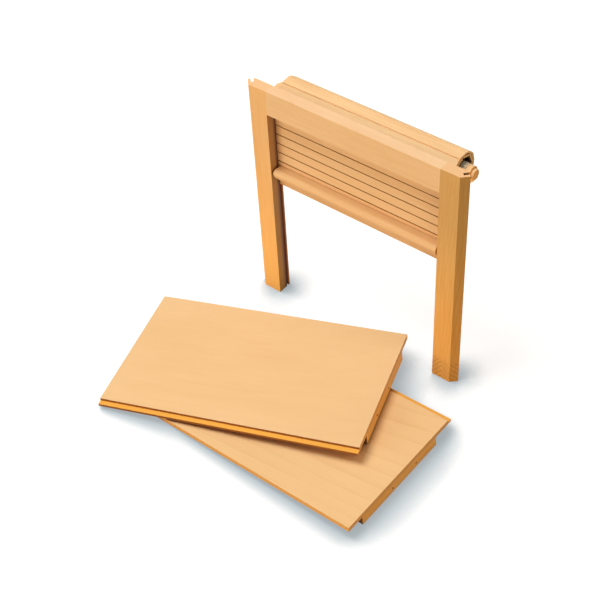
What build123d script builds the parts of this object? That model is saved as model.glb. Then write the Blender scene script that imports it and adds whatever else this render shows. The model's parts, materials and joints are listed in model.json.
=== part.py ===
from build123d import *
from math import acos, atan2, cos, hypot, pi, sin
import os

os.makedirs("parts", exist_ok=True)

# A corner appliance garage: a face frame with a roll-up tambour door that coils
# behind its top rail, and the two side panels that tongue into its bevelled stiles.
# X runs right along the front of the frame, Y back through it, Z up. The origin is on
# the counter, in the middle of the doorway, at the front of the frame. Millimetres.

# Face frame
HEIGHT = 457.2  # counter to the underside of the wall cabinets
FRONT_WIDTH = 419.1  # across the front of the two stiles
THICKNESS = 20.5
STILE_WIDTH = 36.0
RAIL_HEIGHT = 47.0
BEVEL_WIDTH = 11.5  # how far the 45 degree bevel runs sideways, and back
DOWEL_RADIUS = 4.0
DOWEL_DEPTH = 15.0
DOWEL_LENGTH = 28.0
DOWEL_SPACING = 24.0

# Side panels
PANEL_LENGTH = 476.25
PANEL_DEPTH = 273.05  # without its tongue
PANEL_THICKNESS = 9.5
SHOULDER_DEPTH = 4.8  # outer face down to the tongue, and the stile's lip that covers it
TONGUE_LENGTH = 9.2
TONGUE_SIDE_GAP = 0.5
TONGUE_END_GAP = 0.3
CLEAT_WIDTH = 19.0
CLEAT_LENGTH = 203.2
PILOT_RADIUS = 1.6
PILOT_PLACES = (116.0, 181.0)  # from the panel's back edge
CLEAT_SCREW_SPACING = 88.0
CLEAT_SCREW_RADIUS = 1.75
CLEAT_SCREW_HEAD_RADIUS = 3.5
CLEAT_SCREW_HEAD_HEIGHT = 2.2
CLEAT_SCREW_DEPTH = 6.5  # into the board

# Tambour
SLAT_PITCH = 19.05
SLAT_THICKNESS = 3.2
SLAT_GAP = 0.3
SLAT_CHAMFER = 0.9
SLAT_END_GAP = 1.1  # between a slat's end and the floor of its track
CANVAS_THICKNESS = 0.6
CANVAS_WIDTH = 330.0
STRAIGHT_SLATS = 8
OUTER_SLATS = 8  # in the outer turn of the coil
INNER_SLATS = 5
FACE_SETBACK = 20.9  # front of the frame to the front of the slats
DOOR_TOP_GAP = 3.5  # top of the straight slats to the top of the frame

# Pull rail
PULL_HEIGHT = 51.8
NOSE_END_GAP = 4.0  # to the stile at each end
NOSE_DEPTH = 19.9
NOSE_TOP_OFFSET = 9.3  # below the top of the rail
NOSE_FOOT_OFFSET = 39.0
QUIRK_WIDTH = 1.6  # fine groove along the top of the nose
QUIRK_DEPTH = 1.2

# Tracks behind the stiles
TRACK_DEPTH = 8.2
TRACK_WIDTH = 16.45
TRACK_TOP_GAP = 33.2  # to the top of the frame
SLOT_DEPTH = 5.05
SLOT_WIDTH = 4.8
PIN_RADIUS = 0.8
PIN_LENGTH = 17.0
PIN_COUNT = 5
PIN_INSET = 42.0  # from each end of a track

# Roller, and the coil round it
AXIS_SETBACK = 40.0  # behind the back of the frame
AXIS_DROP = 38.2  # below the top of the frame
OUTER_TURN_RADIUS = 26.4  # axis to the canvas side of a slat in the outer turn
INNER_TURN_RADIUS = 21.1
LEAD_ANGLE = -13.5  # degrees up from the front
BARREL_RADIUS = 12.4
BARREL_OVERHANG = 21.45  # past the inner edge of each stile
JOURNAL_RADIUS = 9.0
JOURNAL_LENGTH = 6.0
ROLLER_CHAMFER = 1.0
SLEEVE_THICKNESS = 0.8
SLEEVE_INSET = 9.5  # from each end of the barrel
TAIL_LAP_LENGTH = 8.0

# Brackets under the roller's ends
BRACKET_THICKNESS = 2.0
BRACKET_GAP = 2.5  # to the end of the roller's barrel
FOOT_WIDTH = 12.0
FOOT_BELOW = 27.0  # foot plate below and above the roller's axis
FOOT_ABOVE = 17.0
SADDLE_CLEARANCE = 0.05
SADDLE_THICKNESS = 2.0
SADDLE_HALF_WIDTH = 7.3
ARM_DEPTH = 8.5  # roller's axis down to the underside of the arm
ARM_HEIGHT = 7.0
BRACKET_SCREW_RADIUS = 1.75
BRACKET_SCREW_DEPTH = 12.0
BRACKET_SCREW_HEAD_RADIUS = 3.4
BRACKET_SCREW_HEAD_HEIGHT = 1.8
BRACKET_SCREW_INSET = 7.0

# Where the two panels lie, the left one across the right one
RIGHT_PANEL_CORNER = (-204.7, -368.1)
LEFT_PANEL_CORNER = (-335.0, -145.5)
LEFT_PANEL_HEADING = 19.05  # degrees from X
SEAT_GAP = 0.1

# Sizes that follow
FRONT_HALF = FRONT_WIDTH / 2
OPENING_HALF = FRONT_HALF - STILE_WIDTH
RAIL_LOW = HEIGHT - RAIL_HEIGHT
AXIS_Y = THICKNESS + AXIS_SETBACK
AXIS_Z = HEIGHT - AXIS_DROP
TRACK_HEIGHT = HEIGHT - TRACK_TOP_GAP
PIN_PITCH = (TRACK_HEIGHT - 2 * PIN_INSET) / (PIN_COUNT - 1)
PIN_LEVELS = [PIN_INSET + PIN_PITCH * number for number in range(PIN_COUNT)]
BARREL_HALF = OPENING_HALF + BARREL_OVERHANG
ROLLER_HALF = BARREL_HALF + JOURNAL_LENGTH
SLEEVE_HALF = BARREL_HALF - SLEEVE_INSET
BRACKET_INSIDE = BARREL_HALF + BRACKET_GAP
FOOT_LOW = AXIS_Z - FOOT_BELOW
FOOT_HIGH = AXIS_Z + FOOT_ABOVE
TONGUE_THICKNESS = PANEL_THICKNESS - SHOULDER_DEPTH
SLAT_HALF = OPENING_HALF + SLOT_DEPTH - SLAT_END_GAP
CANVAS_LINE = FACE_SETBACK + SLAT_THICKNESS  # the plane between slats and canvas
TRACK_BACK = THICKNESS + TRACK_DEPTH
DOOR_HIGH = HEIGHT - DOOR_TOP_GAP
DOOR_LINE = DOOR_HIGH - STRAIGHT_SLATS * SLAT_PITCH  # top of the pull rail
PULL_LOW = DOOR_LINE - PULL_HEIGHT
AXLE = Plane((0, AXIS_Y, AXIS_Z), x_dir=(0, 1, 0), z_dir=(1, 0, 0))


def finish(piece, label):
    """Names a piece and writes its file."""
    piece.part.label = label
    export_step(piece.part, f"parts/{label}.step")


def slat_section(start, end):
    """Section of a slat between two hinge points, its face to the left of the way."""
    along = (Vector(*end) - Vector(*start)).normalized()
    out = Vector(-along.Y, along.X)
    low = SLAT_GAP / 2
    high = SLAT_PITCH - SLAT_GAP / 2
    corners = (
        (low, 0),
        (low, SLAT_THICKNESS - SLAT_CHAMFER),
        (low + SLAT_CHAMFER, SLAT_THICKNESS),
        (high - SLAT_CHAMFER, SLAT_THICKNESS),
        (high, SLAT_THICKNESS - SLAT_CHAMFER),
        (high, 0),
    )
    return [Vector(*start) + along * run + out * rise for run, rise in corners]


def inward(points, distance):
    """A chain of hinge points moved sideways to its right, mitred at each hinge."""
    points = [Vector(*point) for point in points]
    normals = []
    for here, there in zip(points, points[1:]):
        along = (there - here).normalized()
        normals.append(Vector(along.Y, -along.X))
    moved = [points[0] + normals[0] * distance]
    for point, before, after in zip(points[1:], normals, normals[1:]):
        bisector = (before + after).normalized()
        moved.append(point + bisector * (distance / bisector.dot(before)))
    return moved + [points[-1] + normals[-1] * distance]


def coil_hinges():
    """Hinge points of the coiled slats from the door side inwards, and the last angle."""
    outer = hypot(OUTER_TURN_RADIUS, SLAT_PITCH / 2)
    inner = hypot(INNER_TURN_RADIUS, SLAT_PITCH / 2)
    step_in = acos((outer**2 + inner**2 - SLAT_PITCH**2) / (2 * outer * inner))
    outer_step = 2 * atan2(SLAT_PITCH / 2, OUTER_TURN_RADIUS)
    inner_step = 2 * atan2(SLAT_PITCH / 2, INNER_TURN_RADIUS)
    steps = [(outer, outer_step)] * OUTER_SLATS + [(inner, step_in)]
    steps += [(inner, inner_step)] * INNER_SLATS
    angle = LEAD_ANGLE * pi / 180
    points = [(AXIS_Y - outer * cos(angle), AXIS_Z + outer * sin(angle))]
    for radius, step in steps:
        angle += step
        points.append((AXIS_Y - radius * cos(angle), AXIS_Z + radius * sin(angle)))
    return points, angle


# ---------------------------------------------------------------- face frame
sideways = Vector(1, 1).normalized()
backwards = Vector(-1, 1).normalized()
bevel_end = Vector(FRONT_HALF + BEVEL_WIDTH, BEVEL_WIDTH)
lip_end = bevel_end + backwards * SHOULDER_DEPTH
groove_end = lip_end - sideways * (TONGUE_LENGTH + TONGUE_END_GAP)
groove_back = groove_end + backwards * (TONGUE_THICKNESS + TONGUE_SIDE_GAP)
groove_mouth = groove_back + sideways * (TONGUE_LENGTH + TONGUE_END_GAP)
stile_plan = (
    (OPENING_HALF, 0),
    (FRONT_HALF, 0),
    bevel_end,
    lip_end,
    groove_end,
    groove_back,
    groove_mouth,
    groove_mouth + backwards * ((THICKNESS - groove_mouth.Y) / backwards.Y),
    (OPENING_HALF, THICKNESS),
)
dowel_levels = (
    RAIL_LOW + RAIL_HEIGHT / 2 - DOWEL_SPACING / 2,
    RAIL_LOW + RAIL_HEIGHT / 2 + DOWEL_SPACING / 2,
)
stile_joint = Plane(
    (OPENING_HALF, THICKNESS / 2, RAIL_LOW + RAIL_HEIGHT / 2),
    x_dir=(0, 1, 0),
    z_dir=(-1, 0, 0),
)
pin_x = OPENING_HALF + (SLOT_DEPTH + TRACK_WIDTH) / 2
bracket_screw_x = BRACKET_INSIDE + BRACKET_SCREW_INSET
bracket_screw_levels = (FOOT_LOW + BRACKET_SCREW_INSET, FOOT_HIGH - BRACKET_SCREW_INSET)
stile_back = Plane((0, THICKNESS, 0), x_dir=(-1, 0, 0), z_dir=(0, 1, 0))

with BuildPart() as right_stile:
    with BuildSketch():
        with BuildLine():
            Polyline(*stile_plan, close=True)
        make_face()
    extrude(amount=HEIGHT)
    with Locations(stile_joint):
        with GridLocations(1, DOWEL_SPACING, 1, 2):
            Hole(DOWEL_RADIUS, depth=DOWEL_DEPTH)
    with Locations(*[(pin_x, TRACK_BACK, z) for z in PIN_LEVELS]):
        Cylinder(
            PIN_RADIUS,
            PIN_LENGTH,
            rotation=(-90, 0, 0),
            align=(Align.CENTER, Align.CENTER, Align.MAX),
            mode=Mode.SUBTRACT,
        )
    with Locations(*[(bracket_screw_x, THICKNESS, z) for z in bracket_screw_levels]):
        Cylinder(
            BRACKET_SCREW_RADIUS,
            BRACKET_SCREW_DEPTH,
            rotation=(-90, 0, 0),
            align=(Align.CENTER, Align.CENTER, Align.MAX),
            mode=Mode.SUBTRACT,
        )
finish(right_stile, "right_stile")

with BuildPart() as left_stile:
    mirror(right_stile.part, about=Plane.YZ)
finish(left_stile, "left_stile")

with BuildPart() as top_rail:
    with BuildSketch(Plane.XY.offset(RAIL_LOW)):
        with Locations((0, THICKNESS / 2)):
            Rectangle(2 * OPENING_HALF, THICKNESS)
    extrude(amount=RAIL_HEIGHT)
    for end in top_rail.faces().filter_by(Axis.X):
        with Locations(Plane(end, x_dir=(0, 1, 0))):
            with GridLocations(1, DOWEL_SPACING, 1, 2):
                Hole(DOWEL_RADIUS, depth=DOWEL_DEPTH)
finish(top_rail, "top_rail")

with BuildPart() as rail_dowels:
    for x in (-OPENING_HALF, OPENING_HALF):
        with Locations(*[(x, THICKNESS / 2, z) for z in dowel_levels]):
            Cylinder(DOWEL_RADIUS, DOWEL_LENGTH, rotation=(0, 90, 0))
finish(rail_dowels, "rail_dowels")

# ---------------------------------------------------------------- tracks
slot_floor = OPENING_HALF + SLOT_DEPTH
track_plan = (
    (slot_floor, THICKNESS),
    (OPENING_HALF + TRACK_WIDTH, THICKNESS),
    (OPENING_HALF + TRACK_WIDTH, TRACK_BACK),
    (OPENING_HALF, TRACK_BACK),
    (OPENING_HALF, THICKNESS + SLOT_WIDTH),
    (slot_floor, THICKNESS + SLOT_WIDTH),
)

with BuildPart() as right_track:
    with BuildSketch():
        with BuildLine():
            Polyline(*track_plan, close=True)
        make_face()
    extrude(amount=TRACK_HEIGHT)
    with Locations(*[(pin_x, TRACK_BACK, z) for z in PIN_LEVELS]):
        Cylinder(
            PIN_RADIUS,
            PIN_LENGTH,
            rotation=(-90, 0, 0),
            align=(Align.CENTER, Align.CENTER, Align.MAX),
            mode=Mode.SUBTRACT,
        )
finish(right_track, "right_track")

with BuildPart() as left_track:
    mirror(right_track.part, about=Plane.YZ)
finish(left_track, "left_track")

with BuildPart() as track_pins:
    for x in (-pin_x, pin_x):
        with Locations(*[(x, TRACK_BACK, z) for z in PIN_LEVELS]):
            Cylinder(
                PIN_RADIUS,
                PIN_LENGTH,
                rotation=(-90, 0, 0),
                align=(Align.CENTER, Align.CENTER, Align.MAX),
            )
finish(track_pins, "track_pins")

# ---------------------------------------------------------------- roller
with BuildPart() as roller:
    with BuildSketch(AXLE.offset(-ROLLER_HALF)):
        Circle(JOURNAL_RADIUS)
    extrude(amount=2 * ROLLER_HALF)
    with BuildSketch(AXLE.offset(-BARREL_HALF)):
        Circle(BARREL_RADIUS)
    extrude(amount=2 * BARREL_HALF)
    ends = roller.faces().filter_by(Axis.X)
    rims = ends.sort_by(Axis.X)[0].edges() + ends.sort_by(Axis.X)[-1].edges()
    chamfer(rims, ROLLER_CHAMFER)
finish(roller, "roller")

# ---------------------------------------------------------------- roller brackets
saddle_radius = JOURNAL_RADIUS + SADDLE_CLEARANCE
saddle_low = AXIS_Z - saddle_radius - SADDLE_THICKNESS
arm_low = AXIS_Z - ARM_DEPTH
arm_plan = (
    (THICKNESS, arm_low),
    (AXIS_Y - saddle_radius, arm_low),
    (AXIS_Y - SADDLE_HALF_WIDTH, saddle_low),
    (AXIS_Y + SADDLE_HALF_WIDTH, saddle_low),
    (AXIS_Y + SADDLE_HALF_WIDTH, AXIS_Z),
    (AXIS_Y - SADDLE_HALF_WIDTH, AXIS_Z),
    (AXIS_Y - SADDLE_HALF_WIDTH, arm_low + ARM_HEIGHT),
    (THICKNESS, arm_low + ARM_HEIGHT),
)

with BuildPart() as right_bracket:
    with BuildSketch(Plane.YZ.offset(BRACKET_INSIDE)):
        with BuildLine():
            Polyline(*arm_plan, close=True)
        make_face()
        with Locations((AXIS_Y, AXIS_Z)):
            Circle(saddle_radius, mode=Mode.SUBTRACT)
    extrude(amount=BRACKET_THICKNESS)
    with BuildSketch(stile_back):
        with Locations((-BRACKET_INSIDE - FOOT_WIDTH / 2, (FOOT_LOW + FOOT_HIGH) / 2)):
            Rectangle(FOOT_WIDTH, FOOT_HIGH - FOOT_LOW)
    extrude(amount=BRACKET_THICKNESS)
    with Locations(*[(bracket_screw_x, THICKNESS, z) for z in bracket_screw_levels]):
        Cylinder(
            BRACKET_SCREW_RADIUS,
            3 * BRACKET_THICKNESS,
            rotation=(-90, 0, 0),
            mode=Mode.SUBTRACT,
        )
finish(right_bracket, "right_bracket")

with BuildPart() as left_bracket:
    mirror(right_bracket.part, about=Plane.YZ)
finish(left_bracket, "left_bracket")

with BuildPart() as bracket_screws:
    for x in (-bracket_screw_x, bracket_screw_x):
        places = [(x, THICKNESS, z) for z in bracket_screw_levels]
        with Locations(*places):
            Cylinder(
                BRACKET_SCREW_RADIUS,
                BRACKET_SCREW_DEPTH,
                rotation=(-90, 0, 0),
                align=(Align.CENTER, Align.CENTER, Align.MAX),
            )
            Cylinder(
                BRACKET_SCREW_RADIUS,
                BRACKET_THICKNESS,
                rotation=(-90, 0, 0),
                align=(Align.CENTER, Align.CENTER, Align.MIN),
            )
        with Locations(*[(x, THICKNESS + BRACKET_THICKNESS, z) for z in bracket_screw_levels]):
            Cone(
                BRACKET_SCREW_HEAD_RADIUS,
                BRACKET_SCREW_RADIUS,
                BRACKET_SCREW_HEAD_HEIGHT,
                rotation=(-90, 0, 0),
                align=(Align.CENTER, Align.CENTER, Align.MIN),
            )
finish(bracket_screws, "bracket_screws")

# ---------------------------------------------------------------- door, its straight part
for number in range(STRAIGHT_SLATS):
    low = DOOR_LINE + number * SLAT_PITCH
    with BuildPart() as door_slat:
        with BuildSketch(Plane.YZ.offset(-SLAT_HALF)):
            with BuildLine():
                hinges = ((CANVAS_LINE, low), (CANVAS_LINE, low + SLAT_PITCH))
                Polyline(*slat_section(*hinges), close=True)
            make_face()
        extrude(amount=2 * SLAT_HALF)
    finish(door_slat, f"door_slat_{number + 1}")

nose_half = OPENING_HALF - NOSE_END_GAP
nose_top = DOOR_LINE - NOSE_TOP_OFFSET
nose_height = NOSE_FOOT_OFFSET - NOSE_TOP_OFFSET
# Shares of its depth forwards, and of its height down
nose_shape = (
    (0.45, -0.007),
    (0.72, -0.010),
    (0.93, 0.067),
    (1.00, 0.209),
    (0.96, 0.370),
    (0.78, 0.583),
    (0.45, 0.835),
    (0.12, 1.000),
)
nose_profile = [
    (FACE_SETBACK - NOSE_DEPTH * forwards, nose_top - nose_height * down)
    for forwards, down in nose_shape
]

with BuildPart() as pull_rail:
    with BuildSketch(Plane.YZ.offset(-SLAT_HALF)):
        with Locations((FACE_SETBACK + SLAT_THICKNESS / 2, PULL_LOW)):
            Rectangle(
                SLAT_THICKNESS,
                PULL_HEIGHT - SLAT_GAP / 2,
                align=(Align.CENTER, Align.MIN),
            )
    extrude(amount=2 * SLAT_HALF)
    with BuildSketch(Plane.YZ.offset(-nose_half)):
        with BuildLine():
            Line((FACE_SETBACK, PULL_LOW), (CANVAS_LINE, PULL_LOW))
            Line((CANVAS_LINE, PULL_LOW), (CANVAS_LINE, nose_top))
            Line((CANVAS_LINE, nose_top), (FACE_SETBACK, nose_top))
            Line((FACE_SETBACK, nose_top), nose_profile[0])
            Spline(*nose_profile)
            Line(nose_profile[-1], (FACE_SETBACK, PULL_LOW))
        make_face()
    extrude(amount=2 * nose_half)
    with BuildSketch(Plane.YZ.offset(-SLAT_HALF)):
        with Locations((FACE_SETBACK, nose_top)):
            Rectangle(QUIRK_DEPTH, QUIRK_WIDTH, align=(Align.MIN, Align.MIN))
    extrude(amount=2 * SLAT_HALF, mode=Mode.SUBTRACT)
finish(pull_rail, "pull_rail")

with BuildPart() as door_canvas:
    with BuildSketch(Plane.YZ.offset(-CANVAS_WIDTH / 2)):
        with Locations((CANVAS_LINE, PULL_LOW + SLAT_PITCH / 4)):
            Rectangle(
                CANVAS_THICKNESS,
                DOOR_HIGH - PULL_LOW - SLAT_PITCH / 4 - SLAT_GAP / 2,
                align=(Align.MIN, Align.MIN),
            )
    extrude(amount=CANVAS_WIDTH)
finish(door_canvas, "door_canvas")

# ---------------------------------------------------------------- door, the coil
hinges, last_angle = coil_hinges()
for number, ends in enumerate(zip(hinges, hinges[1:])):
    with BuildPart() as coil_slat:
        with BuildSketch(Plane.YZ.offset(-SLAT_HALF)):
            with BuildLine():
                Polyline(*slat_section(*ends), close=True)
            make_face()
        extrude(amount=2 * SLAT_HALF)
    finish(coil_slat, f"coil_slat_{number + 1}")

with BuildPart() as coil_canvas:
    with BuildSketch(Plane.YZ.offset(-CANVAS_WIDTH / 2)):
        with BuildLine():
            Polyline(*hinges, *reversed(inward(hinges, CANVAS_THICKNESS)), close=True)
        make_face()
    extrude(amount=CANVAS_WIDTH)
finish(coil_canvas, "coil_canvas")

# ---------------------------------------------------------------- canvas on the roller
# Its tail is stuck to the end of the coil's canvas and meets the sleeve at a tangent.
sleeve_radius = BARREL_RADIUS + SLEEVE_THICKNESS
axle_point = Vector(AXIS_Y, AXIS_Z)
canvas_end = inward(hinges, CANVAS_THICKNESS)[-1]
last_way = (Vector(*hinges[-1]) - Vector(*hinges[-2])).normalized()
spoke = canvas_end - axle_point
meet = atan2(spoke.Y, spoke.X) - acos(sleeve_radius / spoke.length)
tail = (
    canvas_end - last_way * TAIL_LAP_LENGTH,
    canvas_end,
    axle_point + Vector(cos(meet), sin(meet)) * sleeve_radius,
)

with BuildPart() as roller_canvas:
    with BuildSketch(Plane.YZ.offset(-SLEEVE_HALF)):
        with Locations((AXIS_Y, AXIS_Z)):
            Circle(sleeve_radius)
        with BuildLine():
            Polyline(*tail, *reversed(inward(tail, SLEEVE_THICKNESS)), close=True)
        make_face()
        with Locations((AXIS_Y, AXIS_Z)):
            Circle(BARREL_RADIUS, mode=Mode.SUBTRACT)
    extrude(amount=2 * SLEEVE_HALF)
finish(roller_canvas, "roller_canvas")

# ---------------------------------------------------------------- side panels
# Each lies outer face up with its cleat underneath, so its cleat end is propped up.
# A panel's bed has its X along the panel from the foot, its Z out of the outer face.
right_rise = atan2(CLEAT_WIDTH, PANEL_LENGTH - CLEAT_WIDTH)
right_bed = Plane(
    (*RIGHT_PANEL_CORNER, 0),
    x_dir=(cos(right_rise), 0, sin(right_rise)),
    z_dir=(-sin(right_rise), 0, cos(right_rise)),
)

# The left panel touches down at three points: its back foot corner on the counter, the
# right panel's foot corner under its face, and its cleat on the right panel's shoulder.
heading = LEFT_PANEL_HEADING * pi / 180
along = Vector(cos(heading), sin(heading), 0)
across = Vector(sin(heading), -cos(heading), 0)
left_corner = Vector(*LEFT_PANEL_CORNER, 0)
prop = right_bed.from_local_coords((0, 0, PANEL_THICKNESS + SEAT_GAP))
shoulder_y = RIGHT_PANEL_CORNER[1] + PANEL_DEPTH
cleat_edge = left_corner + along * (PANEL_LENGTH - CLEAT_WIDTH)
crossing = cleat_edge + across * ((shoulder_y - cleat_edge.Y) / across.Y)
rest = right_bed.from_local_coords(
    (
        (crossing.X - RIGHT_PANEL_CORNER[0]) / cos(right_rise),
        PANEL_DEPTH,
        PANEL_THICKNESS + SEAT_GAP,
    )
)
up = Vector(0, 0, 1)
for settle in range(4):
    up = (rest + up * CLEAT_WIDTH - left_corner).cross(prop - left_corner).normalized()
    up = up * (1 if up.Z > 0 else -1)
left_bed = Plane(left_corner, x_dir=along - up * along.dot(up), z_dir=up)


def side_panel(side, bed, hand):
    """A board with its cleat and screws; hand is the way its tongue points along bed Y."""
    section = Plane(bed.origin, x_dir=bed.y_dir, z_dir=bed.x_dir)
    screw_line = Plane(
        bed.from_local_coords((PANEL_LENGTH - CLEAT_WIDTH / 2, hand * PANEL_DEPTH / 2, -CLEAT_WIDTH)),
        x_dir=bed.y_dir,
        z_dir=bed.z_dir,
    )
    with BuildPart(screw_line) as screws:
        with GridLocations(CLEAT_SCREW_SPACING, 1, 3, 1):
            Cylinder(
                CLEAT_SCREW_RADIUS,
                CLEAT_WIDTH + CLEAT_SCREW_DEPTH,
                align=(Align.CENTER, Align.CENTER, Align.MIN),
            )
            Cone(
                CLEAT_SCREW_HEAD_RADIUS,
                CLEAT_SCREW_RADIUS,
                CLEAT_SCREW_HEAD_HEIGHT,
                align=(Align.CENTER, Align.CENTER, Align.MIN),
            )
    finish(screws, f"{side}_cleat_screws")

    tongue_edge = hand * (PANEL_DEPTH + TONGUE_LENGTH)
    with BuildPart() as board:
        with BuildSketch(section):
            with BuildLine():
                Polyline(
                    (0, 0),
                    (tongue_edge, 0),
                    (tongue_edge, TONGUE_THICKNESS),
                    (hand * PANEL_DEPTH, TONGUE_THICKNESS),
                    (hand * PANEL_DEPTH, PANEL_THICKNESS),
                    (0, PANEL_THICKNESS),
                    close=True,
                )
            make_face()
        extrude(amount=PANEL_LENGTH)
        add(screws.part, mode=Mode.SUBTRACT)
    finish(board, f"{side}_side_panel")

    with BuildPart() as cleat:
        with BuildSketch(section.offset(PANEL_LENGTH - CLEAT_WIDTH)):
            with Locations((hand * PANEL_DEPTH / 2, -CLEAT_WIDTH / 2)):
                Rectangle(CLEAT_LENGTH, CLEAT_WIDTH)
            with Locations(*[(hand * place, -CLEAT_WIDTH / 2) for place in PILOT_PLACES]):
                Circle(PILOT_RADIUS, mode=Mode.SUBTRACT)
        extrude(amount=CLEAT_WIDTH)
        add(screws.part, mode=Mode.SUBTRACT)
    finish(cleat, f"{side}_cleat")


side_panel("right", right_bed, 1)
side_panel("left", left_bed, -1)
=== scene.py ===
import json
from math import acos, atan2, cos, pi, sin

import bmesh
import bpy
from mathutils import Matrix, Vector


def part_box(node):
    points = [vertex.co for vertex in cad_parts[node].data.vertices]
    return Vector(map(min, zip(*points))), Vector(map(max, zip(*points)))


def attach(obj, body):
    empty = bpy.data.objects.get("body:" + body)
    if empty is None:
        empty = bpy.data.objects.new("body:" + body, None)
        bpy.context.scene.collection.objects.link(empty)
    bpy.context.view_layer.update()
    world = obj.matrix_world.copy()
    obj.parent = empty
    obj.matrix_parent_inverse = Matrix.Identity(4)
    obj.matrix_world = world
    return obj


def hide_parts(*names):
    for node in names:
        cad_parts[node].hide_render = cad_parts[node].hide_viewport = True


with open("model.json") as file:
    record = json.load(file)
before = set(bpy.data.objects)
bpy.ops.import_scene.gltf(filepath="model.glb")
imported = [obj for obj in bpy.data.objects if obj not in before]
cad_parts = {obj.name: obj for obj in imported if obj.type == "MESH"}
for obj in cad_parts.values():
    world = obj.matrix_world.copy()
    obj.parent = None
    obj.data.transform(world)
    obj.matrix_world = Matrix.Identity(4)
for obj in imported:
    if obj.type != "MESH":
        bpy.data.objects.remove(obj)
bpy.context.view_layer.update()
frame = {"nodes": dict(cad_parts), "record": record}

nodes = frame["nodes"]
mounts = {mount["name"]: mount for mount in frame["record"]["mounts"]}
joints = {joint["name"]: joint for joint in frame["record"]["behaviour"]["joints"]}
scene = bpy.context.scene


def linear(*srgb):
    """A colour as eight-bit sRGB, made linear for a shader."""
    out = []
    for value in srgb:
        value /= 255
        out.append(value / 12.92 if value <= 0.04045 else ((value + 0.055) / 1.055) ** 2.4)
    return (*out, 1.0)


def darker(colour, share):
    return tuple(share * value for value in colour[:3]) + (1.0,)


# ------------------------------------------------------------------ constants, in metres
ORIGIN = (0, 0, 0)
ALONG_X = (1, 0, 0)
ALONG_Y = (0, 1, 0)
ALONG_Z = (0, 0, 1)

# How nearly a face has to look along a direction
SQUARELY = 0.9
ROUGHLY = 0.7

# Maple: noise as frequency along the grain and across it, detail and roughness
SWAY_NOISE = (3.0, 14.0, 3.0)
PATCH_NOISE = (6.0, 40.0, 2.0)
STREAK_NOISE = (10.0, 260.0, 5.0, 0.6)
CLOUD_NOISE = (5.0, 18.0, 2.0)
FIBRE_NOISE = (60.0, 2200.0, 3.0, 0.7)
SPECK_NOISE = (150.0, 1300.0, 2.0)
WANDER_NOISE = (50.0, 90.0, 3.0)

# Maple: ramps, as places and levels
RING_PROFILE = ((0.0, 0.0), (0.55, 0.10), (0.86, 0.45), (0.94, 1.0), (1.0, 0.0))
ARCH_PROFILE = ((0.0, 0.0), (0.60, 0.10), (0.84, 0.45), (0.92, 1.0), (0.98, 0.1))
PATCH_STOPS = ((0.35, 0.25), (0.65, 1.0))
SOFT_STOPS = ((0.30, 0.0), (0.72, 1.0))
SPECK_STOPS = ((0.0, 0.0), (0.62, 0.0), (0.72, 1.0))
CROWN_STOPS = ((0.10, 0.0), (0.80, 1.0))
END_STOPS = ((0.55, 0.0), (0.85, 1.0))

# Maple: growth rings about a heart that lies off to one side, deep under the board
RING_SWAY = 0.030
HEART_SIDE = 0.030
HEART_DEPTH = 0.055
HEART_DEPTH_CHANGE = 0.02
CLOUD_STRENGTH = 0.26
EDGE_DARK = 0.72
PORE_NOISE = (900.0, 3.0, 0.7)  # scale, detail and roughness
PORE_DARK = 0.7
PORE_STRENGTH = 0.5
FIBRE_RELIEF = 0.6
STREAK_RELIEF = 0.4
MAPLE_BUMP = (0.10, 0.0003)  # strength and distance
MAPLE_ROUGH = (0.52, 0.66)
MAPLE_SPECULAR = 0.2

# Maple: what a board's seed turns into
SEED_SHIFTS = (0.73, 0.37, 0.19)
SEED_SIDE = 5.1
SEED_DEPTH = 2.3
SLAT_SEED = 1.7
SLAT_SEED_STEP = 2.9
SLAT_SHADE_CHANGE = 0.012
SLAT_SHADE_STEP = 7.3

# Maple: the arched rings at a board's foot, and the height over which the foot's tint comes in
ARCH_PITCH = 0.0115
ARCH_TIP = 0.003
ARCH_SLOPE = 1.4
ARCH_WANDER = 0.008
ARCH_STRENGTH = 0.6
ARCH_FADE = (0.050, 0.042)
FOOT_FADE = (0.36, 0.02)

# Painted shade for corners, under a board, recesses, holes, the coil's depth, the tongues'
# shoulders and grooves, the arched rings' own colour, and how far and how steeply the shade
# spreads from a neighbour
CORNER_SHADE = (0.36, 0.20, 0.10, 1.0)
ARCH_STAIN = (0.27, 0.085, 0.010, 1.0)
UNDER_SHADOW = (0.26, 0.17, 0.18, 1.0)
RECESS_SHADE = (0.10, 0.045, 0.040, 1.0)
DEEP_SHADE = (0.02, 0.012, 0.008, 1.0)
SHOULDER_SHADE = (0.27, 0.09, 0.015, 1.0)
GROOVE_SHADE = (0.27, 0.085, 0.002, 1.0)
SKY_SAMPLES = 10
CORNER_REACH = 0.007
CORNER_STOPS = ((0.12, 1.0), (0.60, 0.0))
UNDER_REACH = 0.03
UNDER_STOPS = ((0.30, 1.0), (0.66, 0.0))
COIL_REACH = 0.045
COIL_STOPS = ((0.14, 1.0), (0.42, 0.0))
SHOULDER_REACH = 0.015
INNER_REACH = 0.024  # from the coil's middle to its inner turn

# Details of the parts
CHAMFER = 0.0009
VENEER = 0.0007
PILOT_RADIUS = 0.0017
RECESS_WIDTH = 0.0007
RECESS_LENGTH = 0.0032
WELD = 1e-5
MESH_DIGITS = 6

# Canvas
THREAD_SCALE = 320.0
SLUB_NOISE = (140.0, 4.0)
THREAD_STRENGTH = 0.5
SLUB_STRENGTH = 0.4
CANVAS_BUMP = (0.5, 0.0004)
CANVAS_ROUGH = 0.92
CANVAS_SHEEN = 0.2
CLOTH_STEP = 0.004
CLOTH_THICKNESS = 0.0004
FRAY = 0.0006
RIPPLE = 0.00008
SLEEVE_GAP = 0.0001
WRAP_STEPS = 60
TAIL_LAP = 0.008
TAIL_SETBACK = 0.0006

# Steel
MARK_NOISE = (420.0, 5.0, 0.65)
STEEL_BUMP = (0.08, 0.0002)


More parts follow.
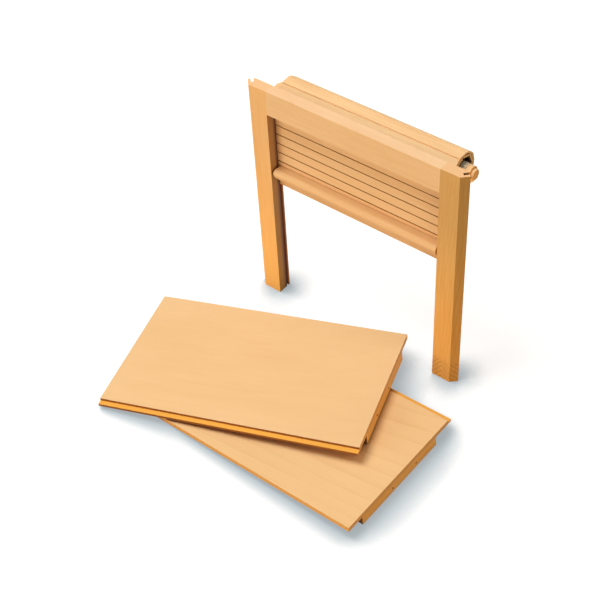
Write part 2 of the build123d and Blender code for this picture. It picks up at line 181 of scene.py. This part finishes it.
class Tree:
    """Builds the node tree of a new material or world."""

    def __init__(self, name, home=bpy.data.materials, output="ShaderNodeOutputMaterial"):
        self.owner = home.new(name)
        self.owner.use_nodes = True
        self.tree = self.owner.node_tree
        self.tree.nodes.clear()
        self.output = self.tree.nodes.new(output)

    def add(self, kind, inputs=None, **settings):
        node = self.tree.nodes.new(kind)
        for key, value in settings.items():
            setattr(node, key, value)
        for key, value in (inputs or {}).items():
            socket = node.inputs[key]
            if isinstance(value, bpy.types.NodeSocket):
                self.tree.links.new(value, socket)
            else:
                socket.default_value = value
        return node

    def math(self, operation, first, second=0.0, clamp=False):
        inputs = {0: first, 1: second}
        return self.add("ShaderNodeMath", inputs, operation=operation, use_clamp=clamp).outputs[0]

    def vector(self, operation, first, second=None):
        inputs = {0: first} if second is None else {0: first, 1: second}
        return self.add("ShaderNodeVectorMath", inputs, operation=operation).outputs

    def mix(self, factor, first, second, blend="MIX"):
        node = self.add("ShaderNodeMix", data_type="RGBA", blend_type=blend)
        for index, value in ((0, factor), (6, first), (7, second)):
            if isinstance(value, bpy.types.NodeSocket):
                self.tree.links.new(value, node.inputs[index])
            else:
                node.inputs[index].default_value = value
        return node.outputs[2]

    def tint(self, factor, colour, tint):
        return self.mix(factor, colour, self.mix(1.0, colour, tint, "MULTIPLY"))

    def ramp(self, value, *stops):
        node = self.add("ShaderNodeValToRGB", {"Fac": value})
        elements = node.color_ramp.elements
        while len(elements) < len(stops):
            elements.new(0.5)
        for element, (place, level) in zip(elements, stops):
            element.position = place
            element.color = (level, level, level, 1.0)
        return node.outputs["Color"]

    def span(self, value, start, stop, **settings):
        """Goes from zero to one between start and stop."""
        inputs = {"Value": value, "From Min": start, "From Max": stop}
        return self.add("ShaderNodeMapRange", inputs, **settings).outputs[0]

    def between(self, value, low, high):
        """Goes from low to high as the value goes from zero to one."""
        inputs = {"Value": value, "To Min": low, "To Max": high}
        return self.add("ShaderNodeMapRange", inputs).outputs[0]

    def place(self):
        return self.add("ShaderNodeTexCoord").outputs["Object"]

    def noise(self, place, scale, detail, roughness=0.5):
        inputs = {"Vector": place, "Scale": scale, "Detail": detail, "Roughness": roughness}
        return self.add("ShaderNodeTexNoise", inputs).outputs["Fac"]

    def buried(self, distance, *stops):
        """Goes to one where other surfaces lie close around: the mask for painted shade."""
        node = self.add("ShaderNodeAmbientOcclusion", {"Distance": distance}, samples=SKY_SAMPLES)
        return self.ramp(node.outputs["AO"], *stops)

    def lean(self, direction):
        """One where the surface looks along a direction, minus one where it looks the other way."""
        normal = self.add(
            "ShaderNodeVectorTransform",
            {"Vector": self.add("ShaderNodeNewGeometry").outputs["Normal"]},
            vector_type="NORMAL",
            convert_from="WORLD",
            convert_to="OBJECT",
        ).outputs[0]
        return self.vector("DOT_PRODUCT", normal, direction)["Value"]

    def facing(self, direction):
        """One where the surface looks either way along a direction."""
        return self.math("ABSOLUTE", self.lean(direction))

    def faces(self, direction, least=SQUARELY):
        return self.math("GREATER_THAN", self.facing(direction), least)

    def in_coil(self, place, middle, reach):
        """Goes to one deep in the coil, within reach of its middle: the mask for painted shade
        there.
        """
        off = self.vector("SUBTRACT", place, middle)[0]
        off = self.vector("MULTIPLY", off, (0, 1, 1))[0]
        within = self.math("LESS_THAN", self.vector("LENGTH", off)["Value"], reach)
        return self.math("MULTIPLY", self.buried(COIL_REACH, *COIL_STOPS), within)

    def away(self, place, point, direction):
        """How far a place lies from a point, along a direction."""
        off = self.vector("SUBTRACT", place, point)[0]
        return self.vector("DOT_PRODUCT", off, direction)["Value"]

    def bump(self, height, strength, distance):
        inputs = {"Height": height, "Strength": strength, "Distance": distance}
        return self.add("ShaderNodeBump", inputs).outputs["Normal"]

    def finish(self, shader):
        self.tree.links.new(shader, self.output.inputs["Surface"])
        return self.owner


# ------------------------------------------------------------------ materials
def wood(
    name,
    pale,
    dark,
    edge,
    grain,
    seed,
    lines=0.3,
    taper=0.12,
    specks=0.3,
    streak=0.34,
    end=None,
    foot=None,
    veneer=None,
    groove=None,
    arches=None,
    holes=(),
    slant=None,
    crown=None,
    recess=None,
    under=False,
    corners=True,
    coil=None,
    pitch=0.0065,
):
    """Clear-finished maple. grain is the direction that the fibres run, as a vector.
    foot tints the board's lower end. veneer is (point, normal, side colour, shoulder direction):
    past that point the face colour shows, below it the edge colour, or the side colour on upright
    faces, and the upright faces close to the point get painted shade. groove is (point, direction,
    reach): further than that from the point, the wood gets dark painted shade, as in a groove.
    arches is the point that the arched rings at a board's foot are nested about. holes are (point,
    axis, radius), painted near black inside as shade. slant is (direction, tint): painted shade on
    a face that looks that way. crown is a tint for faces that look up: painted light where it
    lightens, painted shade where it darkens. recess is (direction, front, back, shade colour): a
    face that looks that way gets painted shade that deepens from front to back. under paints the
    shadow on what lies under another board, corners paints shade on what lies in a corner, and
    coil, (middle, reach), paints near-black shade on what lies deep in the coil. pitch is the
    growth rings' spacing."""
    t = Tree(name)
    turn = Vector(grain).to_track_quat("X", "Z").to_euler()
    place = t.place()
    turned = t.add(
        "ShaderNodeMapping", {"Vector": place, "Rotation": turn}, vector_type="TEXTURE"
    ).outputs[0]
    shift = tuple(seed * share % 1.0 for share in SEED_SHIFTS)
    board = t.vector("ADD", turned, shift)[0]

    def noise(along, across, detail, roughness=0.5):
        stretched = t.add(
            "ShaderNodeMapping", {"Vector": board, "Scale": (along, across, across)}
        ).outputs[0]
        return t.noise(stretched, 1.0, detail, roughness)

    def wandering(noise_settings, width):
        return t.math("MULTIPLY", t.math("SUBTRACT", noise(*noise_settings), 0.5), width)

    # Growth rings are cones about the heart of the tree, which lies under the board, so the
    # board's face cuts them in long arches
    parts = t.add("ShaderNodeSeparateXYZ", {0: turned}).outputs
    heart_side = HEART_SIDE * sin(seed * SEED_SIDE)
    heart_deep = HEART_DEPTH + HEART_DEPTH_CHANGE * sin(seed * SEED_DEPTH)
    sideways = t.math("ADD", t.math("ADD", parts[1], wandering(SWAY_NOISE, RING_SWAY)), heart_side)
    climb = t.math("MULTIPLY", parts[0], taper)
    deep = t.math("ADD", t.math("ADD", parts[2], climb), heart_deep)
    squares = t.math("ADD", t.math("MULTIPLY", sideways, sideways), t.math("MULTIPLY", deep, deep))
    phase = t.math("FRACT", t.math("MULTIPLY", t.math("SQRT", squares), 1 / pitch))
    patches = t.ramp(noise(*PATCH_NOISE), *PATCH_STOPS)
    ring_lines = t.math("MULTIPLY", t.ramp(phase, *RING_PROFILE), patches)

    streaks = noise(*STREAK_NOISE)
    speck_marks = t.ramp(noise(*SPECK_NOISE), *SPECK_STOPS)
    tone = t.math("MULTIPLY", t.ramp(streaks, *SOFT_STOPS), streak)
    cloud = t.math("MULTIPLY", t.ramp(noise(*CLOUD_NOISE), *SOFT_STOPS), CLOUD_STRENGTH)
    tone = t.math("ADD", tone, cloud)
    tone = t.math("ADD", tone, t.math("MULTIPLY", ring_lines, lines))
    tone = t.math("ADD", tone, t.math("MULTIPLY", speck_marks, specks), clamp=True)
    face = t.mix(tone, pale, dark)

    if arches:
        from_heart = t.vector("SUBTRACT", place, arches)[0]
        aside = t.add("ShaderNodeSeparateXYZ", {0: from_heart}).outputs[0]
        aside = t.math("MULTIPLY", aside, ARCH_SLOPE)
        rounded = t.math("SQRT", t.math("ADD", t.math("MULTIPLY", aside, aside), ARCH_TIP**2))
        crest = t.math("ADD", parts[0], rounded)
        crest = t.math("ADD", crest, wandering(WANDER_NOISE, ARCH_WANDER))
        phase = t.math("FRACT", t.math("MULTIPLY", crest, 1 / ARCH_PITCH))
        low_down = t.span(parts[0], *ARCH_FADE)
        arch_lines = t.math("MULTIPLY", t.ramp(phase, *ARCH_PROFILE), low_down)
        face = t.mix(t.math("MULTIPLY", arch_lines, ARCH_STRENGTH), face, ARCH_STAIN)
    if foot:
        face = t.tint(t.span(parts[0], *FOOT_FADE), face, foot)
    if veneer:
        point, normal, side, shoulder = veneer
        edge_face = t.mix(tone, edge, darker(edge, EDGE_DARK))
        edge_face = t.mix(t.faces(normal, ROUGHLY), side, edge_face)
        face = t.mix(t.math("GREATER_THAN", t.away(place, point, normal), 0.0), edge_face, face)
        # Painted shade on the upright shoulder faces close to the veneer's point
        from_point = t.math("ABSOLUTE", t.away(place, point, shoulder))
        close = t.math("LESS_THAN", from_point, SHOULDER_REACH)
        face = t.mix(t.math("MULTIPLY", t.faces(shoulder, ROUGHLY), close), face, SHOULDER_SHADE)
    # Painted shade on faces that look along the direction, either way
    if slant:
        direction, tint = slant
        face = t.tint(t.faces(direction), face, tint)
    # Faces that look up get a tint: painted light where it lightens, painted shade where it darkens
    if crown:
        face = t.tint(t.ramp(t.lean(ALONG_Z), *CROWN_STOPS), face, crown)
    # Painted shade: faces that look along the direction darken from front to back, as in a recess
    if recess:
        direction, front, back, stain = recess
        depth = t.away(place, ORIGIN, ALONG_Y)
        level = t.span(depth, front, back, interpolation_type="SMOOTHSTEP")
        face = t.mix(t.math("MULTIPLY", level, t.faces(direction)), face, stain)
    # Painted shadow where another board lies close over this one
    if under:
        face = t.tint(t.buried(UNDER_REACH, *UNDER_STOPS), face, UNDER_SHADOW)

    is_end = t.ramp(t.facing(Vector(grain).normalized()), *END_STOPS)
    pores = t.math("MULTIPLY", t.noise(place, *PORE_NOISE), PORE_STRENGTH)
    end = end or edge
    end_grain = t.mix(pores, end, darker(end, PORE_DARK))
    colour = t.mix(is_end, face, end_grain)

    # Painted shade: dark beyond the reach, on the chamfers that line a groove
    if groove:
        point, direction, reach = groove
        across = t.math("ABSOLUTE", t.away(place, point, direction))
        colour = t.mix(t.math("GREATER_THAN", across, reach), colour, GROOVE_SHADE)
    # Painted shade: near black inside the holes
    for point, axis, radius in holes:
        offset = t.vector("CROSS_PRODUCT", t.vector("SUBTRACT", place, point)[0], axis)[0]
        inside = t.math("LESS_THAN", t.vector("LENGTH", offset)["Value"], radius)
        colour = t.mix(inside, colour, DEEP_SHADE)
    # Painted shade where other surfaces lie close around, in corners
    if corners:
        colour = t.mix(t.buried(CORNER_REACH, *CORNER_STOPS), colour, CORNER_SHADE, "MULTIPLY")
    # Painted shade: near black deep in the coil
    if coil:
        colour = t.mix(t.in_coil(place, *coil), colour, DEEP_SHADE)

    fibres = t.math("MULTIPLY", noise(*FIBRE_NOISE), FIBRE_RELIEF)
    relief = t.math("ADD", fibres, t.math("MULTIPLY", streaks, STREAK_RELIEF))
    rough = t.between(streaks, *MAPLE_ROUGH)
    shader = t.add(
        "ShaderNodeBsdfPrincipled",
        {
            "Base Color": colour,
            "Roughness": rough,
            "Normal": t.bump(relief, *MAPLE_BUMP),
            "Specular IOR Level": MAPLE_SPECULAR,
        },
    )
    return t.finish(shader.outputs[0])


def canvas(name, pale, dark, coil):
    """Plain-woven cotton canvas, with near-black painted shade where it lies deep in the coil."""
    t = Tree(name)
    place = t.place()
    weave = []
    for direction in ("X", "Y", "Z"):
        wave = t.add(
            "ShaderNodeTexWave",
            {"Vector": place, "Scale": THREAD_SCALE, "Distortion": 0.6, "Detail": 1.0},
            wave_type="BANDS",
            bands_direction=direction,
        )
        weave.append(wave.outputs["Fac"])
    threads = t.math("MULTIPLY", weave[0], t.math("MAXIMUM", weave[1], weave[2]))
    slub = t.math("MULTIPLY", t.noise(place, *SLUB_NOISE), SLUB_STRENGTH)
    tone = t.math("ADD", t.math("MULTIPLY", threads, THREAD_STRENGTH), slub, clamp=True)
    colour = t.mix(t.in_coil(place, *coil), t.mix(tone, dark, pale), DEEP_SHADE)
    shader = t.add(
        "ShaderNodeBsdfPrincipled",
        {
            "Base Color": colour,
            "Roughness": CANVAS_ROUGH,
            "Normal": t.bump(threads, *CANVAS_BUMP),
            "Sheen Weight": CANVAS_SHEEN,
        },
    )
    return t.finish(shader.outputs[0])


def steel(name, pale, dark, rough_low, rough_high, heads=(), axis=None):
    """Plated steel with faint handling marks. heads are the middles of screws that lie along axis:
    each head gets a near-black painted cross that stands for its recess and the shade in it."""
    t = Tree(name)
    place = t.place()
    marks = t.noise(place, *MARK_NOISE)
    colour = t.mix(marks, dark, pale)
    if heads:
        axis = Vector(axis)
        one = axis.orthogonal().normalized()
        two = axis.cross(one)
        flat = t.faces(axis)
    # Painted shade: a near-black cross on each head stands for its recess and the shade in it
    for head in heads:
        first = t.math("ABSOLUTE", t.away(place, head, one))
        second = t.math("ABSOLUTE", t.away(place, head, two))
        slender = t.math("LESS_THAN", t.math("MINIMUM", first, second), RECESS_WIDTH / 2)
        short = t.math("LESS_THAN", t.math("MAXIMUM", first, second), RECESS_LENGTH / 2)
        cross = t.math("MULTIPLY", t.math("MULTIPLY", slender, short), flat)
        colour = t.mix(cross, colour, DEEP_SHADE)
    rough = t.between(marks, rough_low, rough_high)
    shader = t.add(
        "ShaderNodeBsdfPrincipled",
        {
            "Base Color": colour,
            "Roughness": rough,
            "Normal": t.bump(marks, *STEEL_BUMP),
            "Metallic": 1.0,
        },
    )
    return t.finish(shader.outputs[0])


def dress(node, material):
    """Gives a CAD node its material."""
    mesh = nodes[node].data
    mesh.materials.clear()
    mesh.materials.append(material)


# ------------------------------------------------------------------ frame
FACE_PALE = linear(243, 204, 156)
FACE_DARK = linear(222, 172, 116)
EDGE = linear(232, 172, 102)
END = linear(250, 202, 150)

dress(
    "left_stile",
    wood(
        "left_stile_maple",
        pale=linear(240, 193, 133),
        dark=linear(226, 168, 102),
        edge=EDGE,
        grain=ALONG_Z,
        seed=3.1,
        end=END,
        foot=(1.20, 1.04, 0.64, 1.0),
        # Painted shade on the inner face, which looks along X
        slant=(ALONG_X, (0.52, 0.50, 0.54, 1.0)),
        # Painted shade that deepens towards the back of the inner face
        recess=(ALONG_X, 0.010, 0.0205, RECESS_SHADE),
    ),
)
dress(
    "right_stile",
    wood(
        "right_stile_maple",
        pale=linear(218, 176, 111),
        dark=linear(196, 139, 69),
        edge=EDGE,
        grain=ALONG_Z,
        seed=8.7,
        lines=0.5,
        taper=0.09,
        end=END,
        foot=(1.45, 1.25, 0.90, 1.0),
        arches=(0.193, 0.0, 0.0),
        # Painted shade on the bevel
        slant=((0.7071, -0.7071, 0.0), (0.78, 0.735, 0.62, 1.0)),
    ),
)
dress(
    "top_rail",
    wood(
        "top_rail_maple",
        pale=linear(240, 202, 154),
        dark=FACE_DARK,
        edge=EDGE,
        grain=ALONG_X,
        seed=5.3,
        lines=0.22,
        taper=0.05,
        # Painted light: faces that look up are paler
        crown=(1.08, 1.10, 1.22, 1.0),
    ),
)
for side in ("left", "right"):
    dress(
        f"{side}_track",
        wood(
            f"{side}_track_maple",
            pale=linear(190, 130, 84),
            dark=linear(150, 96, 56),
            edge=EDGE,
            grain=ALONG_Z,
            seed=2.0,
        ),
    )
dress("rail_dowels", wood("dowel_maple", FACE_PALE, FACE_DARK, EDGE, grain=ALONG_X, seed=1.0))

# ------------------------------------------------------------------ door and its coil
pull_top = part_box("pull_rail")[1][2]
dress(
    "pull_rail",
    wood(
        "pull_rail_maple",
        pale=linear(238, 194, 142),
        dark=FACE_DARK,
        edge=EDGE,
        grain=ALONG_X,
        seed=6.4,
        lines=0.15,
        taper=0.03,
        # Painted shade: faces that look up are darker
        crown=(0.82, 0.81, 0.78, 1.0),
        # Painted shade in the groove: only the chamfer along the top lies more than a metre above
        # this point
        groove=((0, 0, pull_top - 1 - CHAMFER), ALONG_Z, 1),
        corners=False,
    ),
)

slat_low, slat_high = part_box("door_slat_1")
SLAT_HEIGHT = slat_high[2] - slat_low[2]
coil_middle = Vector(joints["coil_turn"]["pos_m"])
inside_coil = (coil_middle, INNER_REACH)
slats = sorted(
    (name for name in nodes if "slat_" in name),
    key=lambda name: (name[:4], int(name.split("_")[2])),
)
door_slats = [name for name in slats if name.startswith("door")]


def slat_groove(name):
    """Where a slat's chamfered edges begin: its middle, the way across it, and how far."""
    points = [
        Vector((0, round(v.co.y, MESH_DIGITS), round(v.co.z, MESH_DIGITS)))
        for v in nodes[name].data.vertices
    ]
    low, high = next(
        (a, b) for a in points for b in points if abs((a - b).length - SLAT_HEIGHT) < 2 * WELD
    )
    middle = sum(points, Vector()) / len(points)
    way = (high - low).normalized()
    reach = max(abs((point - middle).dot(way)) for point in points)
    return middle, way, reach - CHAMFER


for number, name in enumerate(slats):
    shade = 1 + SLAT_SHADE_CHANGE * sin(SLAT_SHADE_STEP * number)
    if name in door_slats:
        pale = (243, 204, 155)
        # Painted shade on the chamfers in the grooves between slats
        details = {"groove": slat_groove(name)}
    else:
        # The coil's slats are painted paler than the door's, as painted light; painted shade
        # darkens their faces that look up or down, and near-black shade is painted deep in the coil
        pale = (254, 221, 173)
        details = {
            "end": linear(246, 200, 140),
            "slant": (ALONG_Z, (0.97, 0.92, 0.87, 1.0)),
            "coil": inside_coil,
        }
    dress(
        name,
        wood(
            f"{name}_maple",
            pale=linear(*(shade * value for value in pale)),
            dark=FACE_DARK,
            edge=EDGE,
            grain=ALONG_X,
            seed=SLAT_SEED + SLAT_SEED_STEP * number,
            lines=0.15,
            taper=0.03,
            corners=False,
            **details,
        ),
    )
dress(
    "roller",
    wood(
        "roller_maple",
        pale=linear(252, 214, 160),
        dark=linear(236, 184, 124),
        edge=linear(248, 184, 100),
        grain=ALONG_X,
        seed=4.4,
        lines=0.2,
    ),
)

# ------------------------------------------------------------------ side panels
PANELS = {
    "left": {"pale": linear(238, 200, 150), "seed": 11.3, "lines": 0.12, "under": False},
    # The right panel gets a painted shadow where the left one lies over it
    "right": {"pale": linear(242, 203, 150), "seed": 17.9, "lines": 0.5, "under": True},
}
panel_up = {}
for side, panel in PANELS.items():
    along = Vector(mounts[f"{side}_cleat_pilot_1"]["axis"]).normalized()
    across = Vector(mounts[f"{side}_panel_tongue"]["axis"]).normalized()
    up = along.cross(across)
    up = up if up.z > 0 else -up
    panel_up[side] = up
    top = max(up.dot(vertex.co) for vertex in nodes[f"{side}_side_panel"].data.vertices)
    tongue = Vector(mounts[f"{side}_panel_tongue"]["pos_m"])
    veneer_foot = tongue + up * (top - VENEER - up.dot(tongue))
    dress(
        f"{side}_side_panel",
        wood(
            f"{side}_panel_maple",
            dark=linear(226, 180, 124),
            edge=linear(250, 182, 78),
            grain=along,
            taper=0.25,
            pitch=0.024,
            specks=0.15,
            streak=0.14,
            veneer=(veneer_foot, up, linear(232, 168, 86), across),
            end=EDGE,
            **panel,
        ),
    )
    pilots = [pilot for name, pilot in mounts.items() if name.startswith(f"{side}_cleat_pilot")]
    dress(
        f"{side}_cleat",
        wood(
            f"{side}_cleat_maple",
            pale=linear(250, 192, 108),
            dark=linear(228, 158, 76),
            edge=EDGE,
            grain=across,
            seed=panel["seed"] + 1,
            # The cleats' end grain is very dark: partly the darker end grain, partly painted shade
            # on the end faces
            end=linear(104, 66, 40),
            holes=[
                (Vector(pilot["pos_m"]), Vector(pilot["axis"]).normalized(), PILOT_RADIUS)
                for pilot in pilots
            ],
        ),
    )

# ------------------------------------------------------------------ canvas
cloth = canvas("canvas_weave", linear(244, 238, 226), linear(212, 204, 188), inside_coil)


def section_loop(node):
    """The outline of a long CAD node's left end face, in order, as (y, z) points."""
    mesh = nodes[node].data
    left = min(vertex.co.x for vertex in mesh.vertices)
    key = {
        v.index: (round(v.co.y, MESH_DIGITS), round(v.co.z, MESH_DIGITS))
        for v in mesh.vertices
        if v.co.x < left + WELD
    }
    count = {}
    for face in mesh.polygons:
        corners = list(face.vertices)
        if all(index in key for index in corners):
            for a, b in zip(corners, corners[1:] + corners[:1]):
                pair = frozenset((key[a], key[b]))
                count[pair] = count.get(pair, 0) + 1
    links = {}
    for pair, uses in count.items():
        if uses == 1:
            a, b = pair
            links.setdefault(a, []).append(b)
            links.setdefault(b, []).append(a)
    first = min(links)
    loop = [first, links[first][0]]
    while True:
        following = [point for point in links[loop[-1]] if point != loop[-2]][0]
        if following == first:
            return loop
        loop.append(following)


def middle_line(node):
    """The line halfway through a bent strip's thickness."""
    loop = section_loop(node)
    sides = [(Vector(a) - Vector(b)).length for a, b in zip(loop, loop[1:] + loop[:1])]
    first, second = sorted(sorted(range(len(sides)), key=sides.__getitem__)[:2])
    one = loop[first + 1 : second + 1]
    other = (loop[second + 1 :] + loop[: first + 1])[::-1]
    return [(Vector(a) + Vector(b)) / 2 for a, b in zip(one, other)]


def subdivided(line):
    """The line with points no more than about a step apart."""
    fine = []
    for a, b in zip(line, line[1:]):
        pieces = max(1, round((b - a).length / CLOTH_STEP))
        fine += [a.lerp(b, k / pieces) for k in range(pieces)]
    return fine + [line[-1]]


def cloth_strip(name, line, width, body, stands_for):
    """Canvas cut to width, following a line of (y, z) points, its cut edges a little uneven."""
    fine = subdivided(line)
    columns = round(width / CLOTH_STEP)
    form = bmesh.new()
    rows = []
    for number, point in enumerate(fine):
        before = fine[max(0, number - 1)]
        after = fine[min(len(fine) - 1, number + 1)]
        way = (after - before).normalized()
        normal = Vector((-way.y, way.x))
        row = []
        for column in range(columns + 1):
            x = (column / columns - 0.5) * width
            if column in (0, columns):
                x -= (1 if column else -1) * FRAY * (0.5 + 0.5 * sin(number * 1.7 + column))
            ripple = RIPPLE * sin(x * 61 + number * 0.7) * sin(number * 0.9 + x * 23)
            spot = point + normal * ripple
            row.append(form.verts.new((x, spot.x, spot.y)))
        rows.append(row)
    for low, high in zip(rows, rows[1:]):
        for column in range(columns):
            form.faces.new((low[column], low[column + 1], high[column + 1], high[column]))
    mesh = bpy.data.meshes.new(name)
    form.to_mesh(mesh)
    form.free()
    piece = bpy.data.objects.new(name, mesh)
    scene.collection.objects.link(piece)
    mesh.materials.append(cloth)
    for polygon in mesh.polygons:
        polygon.use_smooth = True
    thick = piece.modifiers.new("thickness", "SOLIDIFY")
    thick.thickness = CLOTH_THICKNESS
    thick.offset = 0
    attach(piece, body)
    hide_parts(stands_for)


canvas_low, canvas_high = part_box("door_canvas")
canvas_width = canvas_high[0] - canvas_low[0]
canvas_y = (canvas_low[1] + canvas_high[1]) / 2
door_line = [Vector((canvas_y, canvas_low[2])), Vector((canvas_y, canvas_high[2]))]
coil_line = middle_line("coil_canvas")
cloth_strip("door_cloth", door_line, canvas_width, "door", "door_canvas")
cloth_strip("coil_cloth", coil_line, canvas_width, "coil", "coil_canvas")


def tail_and_wrap():
    """The tail is stuck to the coil's inner end, comes down to the roller and wraps it once."""
    centre = coil_middle.yz
    roller_low, roller_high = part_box("roller")
    sleeve = (roller_high[2] - roller_low[2]) / 2 + CLOTH_THICKNESS / 2 + SLEEVE_GAP
    line = coil_line
    if (line[0] - centre).length <= (line[-1] - centre).length:
        line = line[::-1]
    way = (line[-1] - line[-2]).normalized()
    inwards = Vector((way.y, -way.x))
    inwards = inwards if inwards.dot(centre - line[-1]) > 0 else -inwards
    start = line[-1] + inwards * TAIL_SETBACK
    spoke = start - centre
    meet = atan2(spoke.y, spoke.x) - acos(sleeve / spoke.length)
    turns = [meet - k * 2 * pi / WRAP_STEPS for k in range(WRAP_STEPS)]
    wrap = [centre + Vector((cos(turn), sin(turn))) * sleeve for turn in turns]
    return [start - way * TAIL_LAP, start] + wrap


sleeve_low, sleeve_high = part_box("roller_canvas")
sleeve_width = sleeve_high[0] - sleeve_low[0]
cloth_strip("roller_cloth", tail_and_wrap(), sleeve_width, "coil", "roller_canvas")


# ------------------------------------------------------------------ steel
def piece_middles(node):
    """The middle of each separate piece in a CAD node."""
    form = bmesh.new()
    form.from_mesh(nodes[node].data)
    bmesh.ops.remove_doubles(form, verts=form.verts, dist=WELD)
    left = set(form.verts)
    middles = []
    while left:
        grown = [left.pop()]
        for vertex in grown:
            for edge in vertex.link_edges:
                other = edge.other_vert(vertex)
                if other in left:
                    left.remove(other)
                    grown.append(other)
        middles.append(sum((vertex.co for vertex in grown), Vector()) / len(grown))
    form.free()
    return middles


YELLOW_ZINC = (linear(246, 190, 110), linear(206, 146, 74), 0.42, 0.6)
BRIGHT_ZINC = (linear(206, 204, 200), linear(160, 158, 154), 0.28, 0.45)
plated = steel("bracket_yellow_zinc", *YELLOW_ZINC)
for side in ("left", "right"):
    dress(f"{side}_bracket", plated)
dress("track_pins", steel("pin_zinc", *BRIGHT_ZINC))
bracket_heads = piece_middles("bracket_screws")
dress("bracket_screws", steel("bracket_screw_zinc", *BRIGHT_ZINC, bracket_heads, ALONG_Y))
for side, up in panel_up.items():
    screws = f"{side}_cleat_screws"
    dress(screws, steel(f"{screws}_zinc", *BRIGHT_ZINC, piece_middles(screws), up))

# ------------------------------------------------------------------ camera
CAMERA_PLACE = (1.0071, -1.2843, 1.6740)
CAMERA_AXES = (
    (0.77722822, -0.41404251, 0.47379858),
    (0.6276516, 0.56327541, -0.53737722),
    (-0.04438207, 0.71504518, 0.69766799),
)
camera_data = bpy.data.cameras.new("camera")
camera_data.sensor_width = 36.0
camera_data.lens = 76.67
camera = bpy.data.objects.new("camera", camera_data)
scene.collection.objects.link(camera)
camera.matrix_world = Matrix.Translation(CAMERA_PLACE) @ Matrix(CAMERA_AXES).to_4x4()
scene.camera = camera

# ------------------------------------------------------------------ floor
FLOOR_HALF = 6.0
FLOOR_SQUARES = 8
FLOOR_DROP = 0.0002
FLOOR_WHITE = (0.42, 0.43, 0.44, 1.0)
FLOOR_SHADE = (0.18, 0.22, 0.25, 1.0)
FLOOR_GLOW = (0.78, 0.78, 0.78, 1.0)
FLOOR_GLOW_SHADE = (0.33, 0.375, 0.405, 1.0)
FLOOR_BOUNCE = (0.48, 0.38, 0.25, 1.0)
WHITE = (1.0, 1.0, 1.0, 1.0)
# Shade gathers on the side of a piece that lies away from this direction
SHADE_SIDE = (-0.5, 0.0, 0.866)
SHADE_REACH = 0.07
SHADE_SAMPLES = 12
SHADE_STOPS = ((0.50, 0.0), (0.68, 0.11), (0.80, 0.37), (0.876, 0.66), (0.94, 1.0))
FLOOR_FADE = (0.7, 1.4)

floor_mesh = bpy.data.meshes.new("floor")
floor_form = bmesh.new()
bmesh.ops.create_grid(
    floor_form, x_segments=FLOOR_SQUARES, y_segments=FLOOR_SQUARES, size=FLOOR_HALF
)
floor_form.to_mesh(floor_mesh)
floor_form.free()
floor = bpy.data.objects.new("floor", floor_mesh)
floor.location = (0, 0, -FLOOR_DROP)
scene.collection.objects.link(floor)


def seen(t):
    """One for the camera's rays and for mirrored ones."""
    path = t.add("ShaderNodeLightPath").outputs
    mirrored = t.math("MAXIMUM", path["Is Glossy Ray"], path["Is Transmission Ray"])
    return t.math("MAXIMUM", path["Is Camera Ray"], mirrored)


def floor_material():
    """A pale floor with soft shade about what stands on it, which turns white far away. Other
    rays than the camera's and mirrored ones meet a warm matt floor."""
    t = Tree("floor_white")
    shade_side = t.add("ShaderNodeCombineXYZ", dict(enumerate(SHADE_SIDE))).outputs[0]
    inputs = {"Distance": SHADE_REACH, "Normal": shade_side}
    nearby = t.add("ShaderNodeAmbientOcclusion", inputs, samples=SHADE_SAMPLES).outputs["AO"]
    open_floor = t.ramp(nearby, *SHADE_STOPS)
    matte_colour = t.mix(open_floor, FLOOR_SHADE, FLOOR_WHITE)
    matte = t.add("ShaderNodeBsdfDiffuse", {"Color": matte_colour}).outputs[0]
    glow_colour = t.mix(open_floor, FLOOR_GLOW_SHADE, FLOOR_GLOW)
    glow = t.add("ShaderNodeEmission", {"Color": glow_colour, "Strength": 1.0}).outputs[0]
    near = t.add("ShaderNodeAddShader", {0: matte, 1: glow}).outputs[0]
    far = t.add("ShaderNodeEmission", {"Color": WHITE, "Strength": 1.0}).outputs[0]
    fade = t.span(t.vector("LENGTH", t.place())["Value"], *FLOOR_FADE)
    shown = t.add("ShaderNodeMixShader", {0: fade, 1: near, 2: far}).outputs[0]
    bounce = t.add("ShaderNodeBsdfDiffuse", {"Color": FLOOR_BOUNCE}).outputs[0]
    return t.finish(t.add("ShaderNodeMixShader", {0: seen(t), 1: bounce, 2: shown}).outputs[0])


floor_mesh.materials.append(floor_material())

# ------------------------------------------------------------------ light
FILL_COLOUR = (1.0, 0.80, 0.58, 1.0)
FILL_STRENGTH = 0.20


studio = Tree("studio", bpy.data.worlds, "ShaderNodeOutputWorld")
fill = studio.add("ShaderNodeBackground", {"Color": FILL_COLOUR, "Strength": FILL_STRENGTH})
backdrop = studio.add("ShaderNodeBackground", {"Color": WHITE})
sky = studio.add(
    "ShaderNodeMixShader", {0: seen(studio), 1: fill.outputs[0], 2: backdrop.outputs[0]}
)
scene.world = studio.finish(sky.outputs[0])


def softbox(name, place, target, size, power, colour):
    """A square area lamp turned to a target."""
    lamp = bpy.data.lights.new(name, "AREA")
    lamp.shape = "SQUARE"
    lamp.size = size
    lamp.energy = power
    lamp.color = colour
    holder = bpy.data.objects.new(name, lamp)
    holder.location = place
    holder.rotation_euler = (Vector(target) - Vector(place)).to_track_quat("-Z", "Y").to_euler()
    scene.collection.objects.link(holder)


softbox("top", (-1.2, -0.8, 3.75), (0, 0, 0.1), size=2.0, power=115, colour=(1.0, 0.99, 0.97))
softbox("front", (-1.4, -3.6, 1.1), (0, 0, 0.2), size=2.2, power=62, colour=(1.0, 0.93, 0.84))
softbox("right", (3.2, -1.8, 0.9), (0, 0, 0.2), size=1.6, power=32, colour=(1.0, 0.80, 0.52))
softbox("back", (0.5, 3.6, 0.9), (0, 0, 0.2), size=2.0, power=26, colour=(1.0, 0.95, 0.88))

scene.view_settings.view_transform = "Standard"
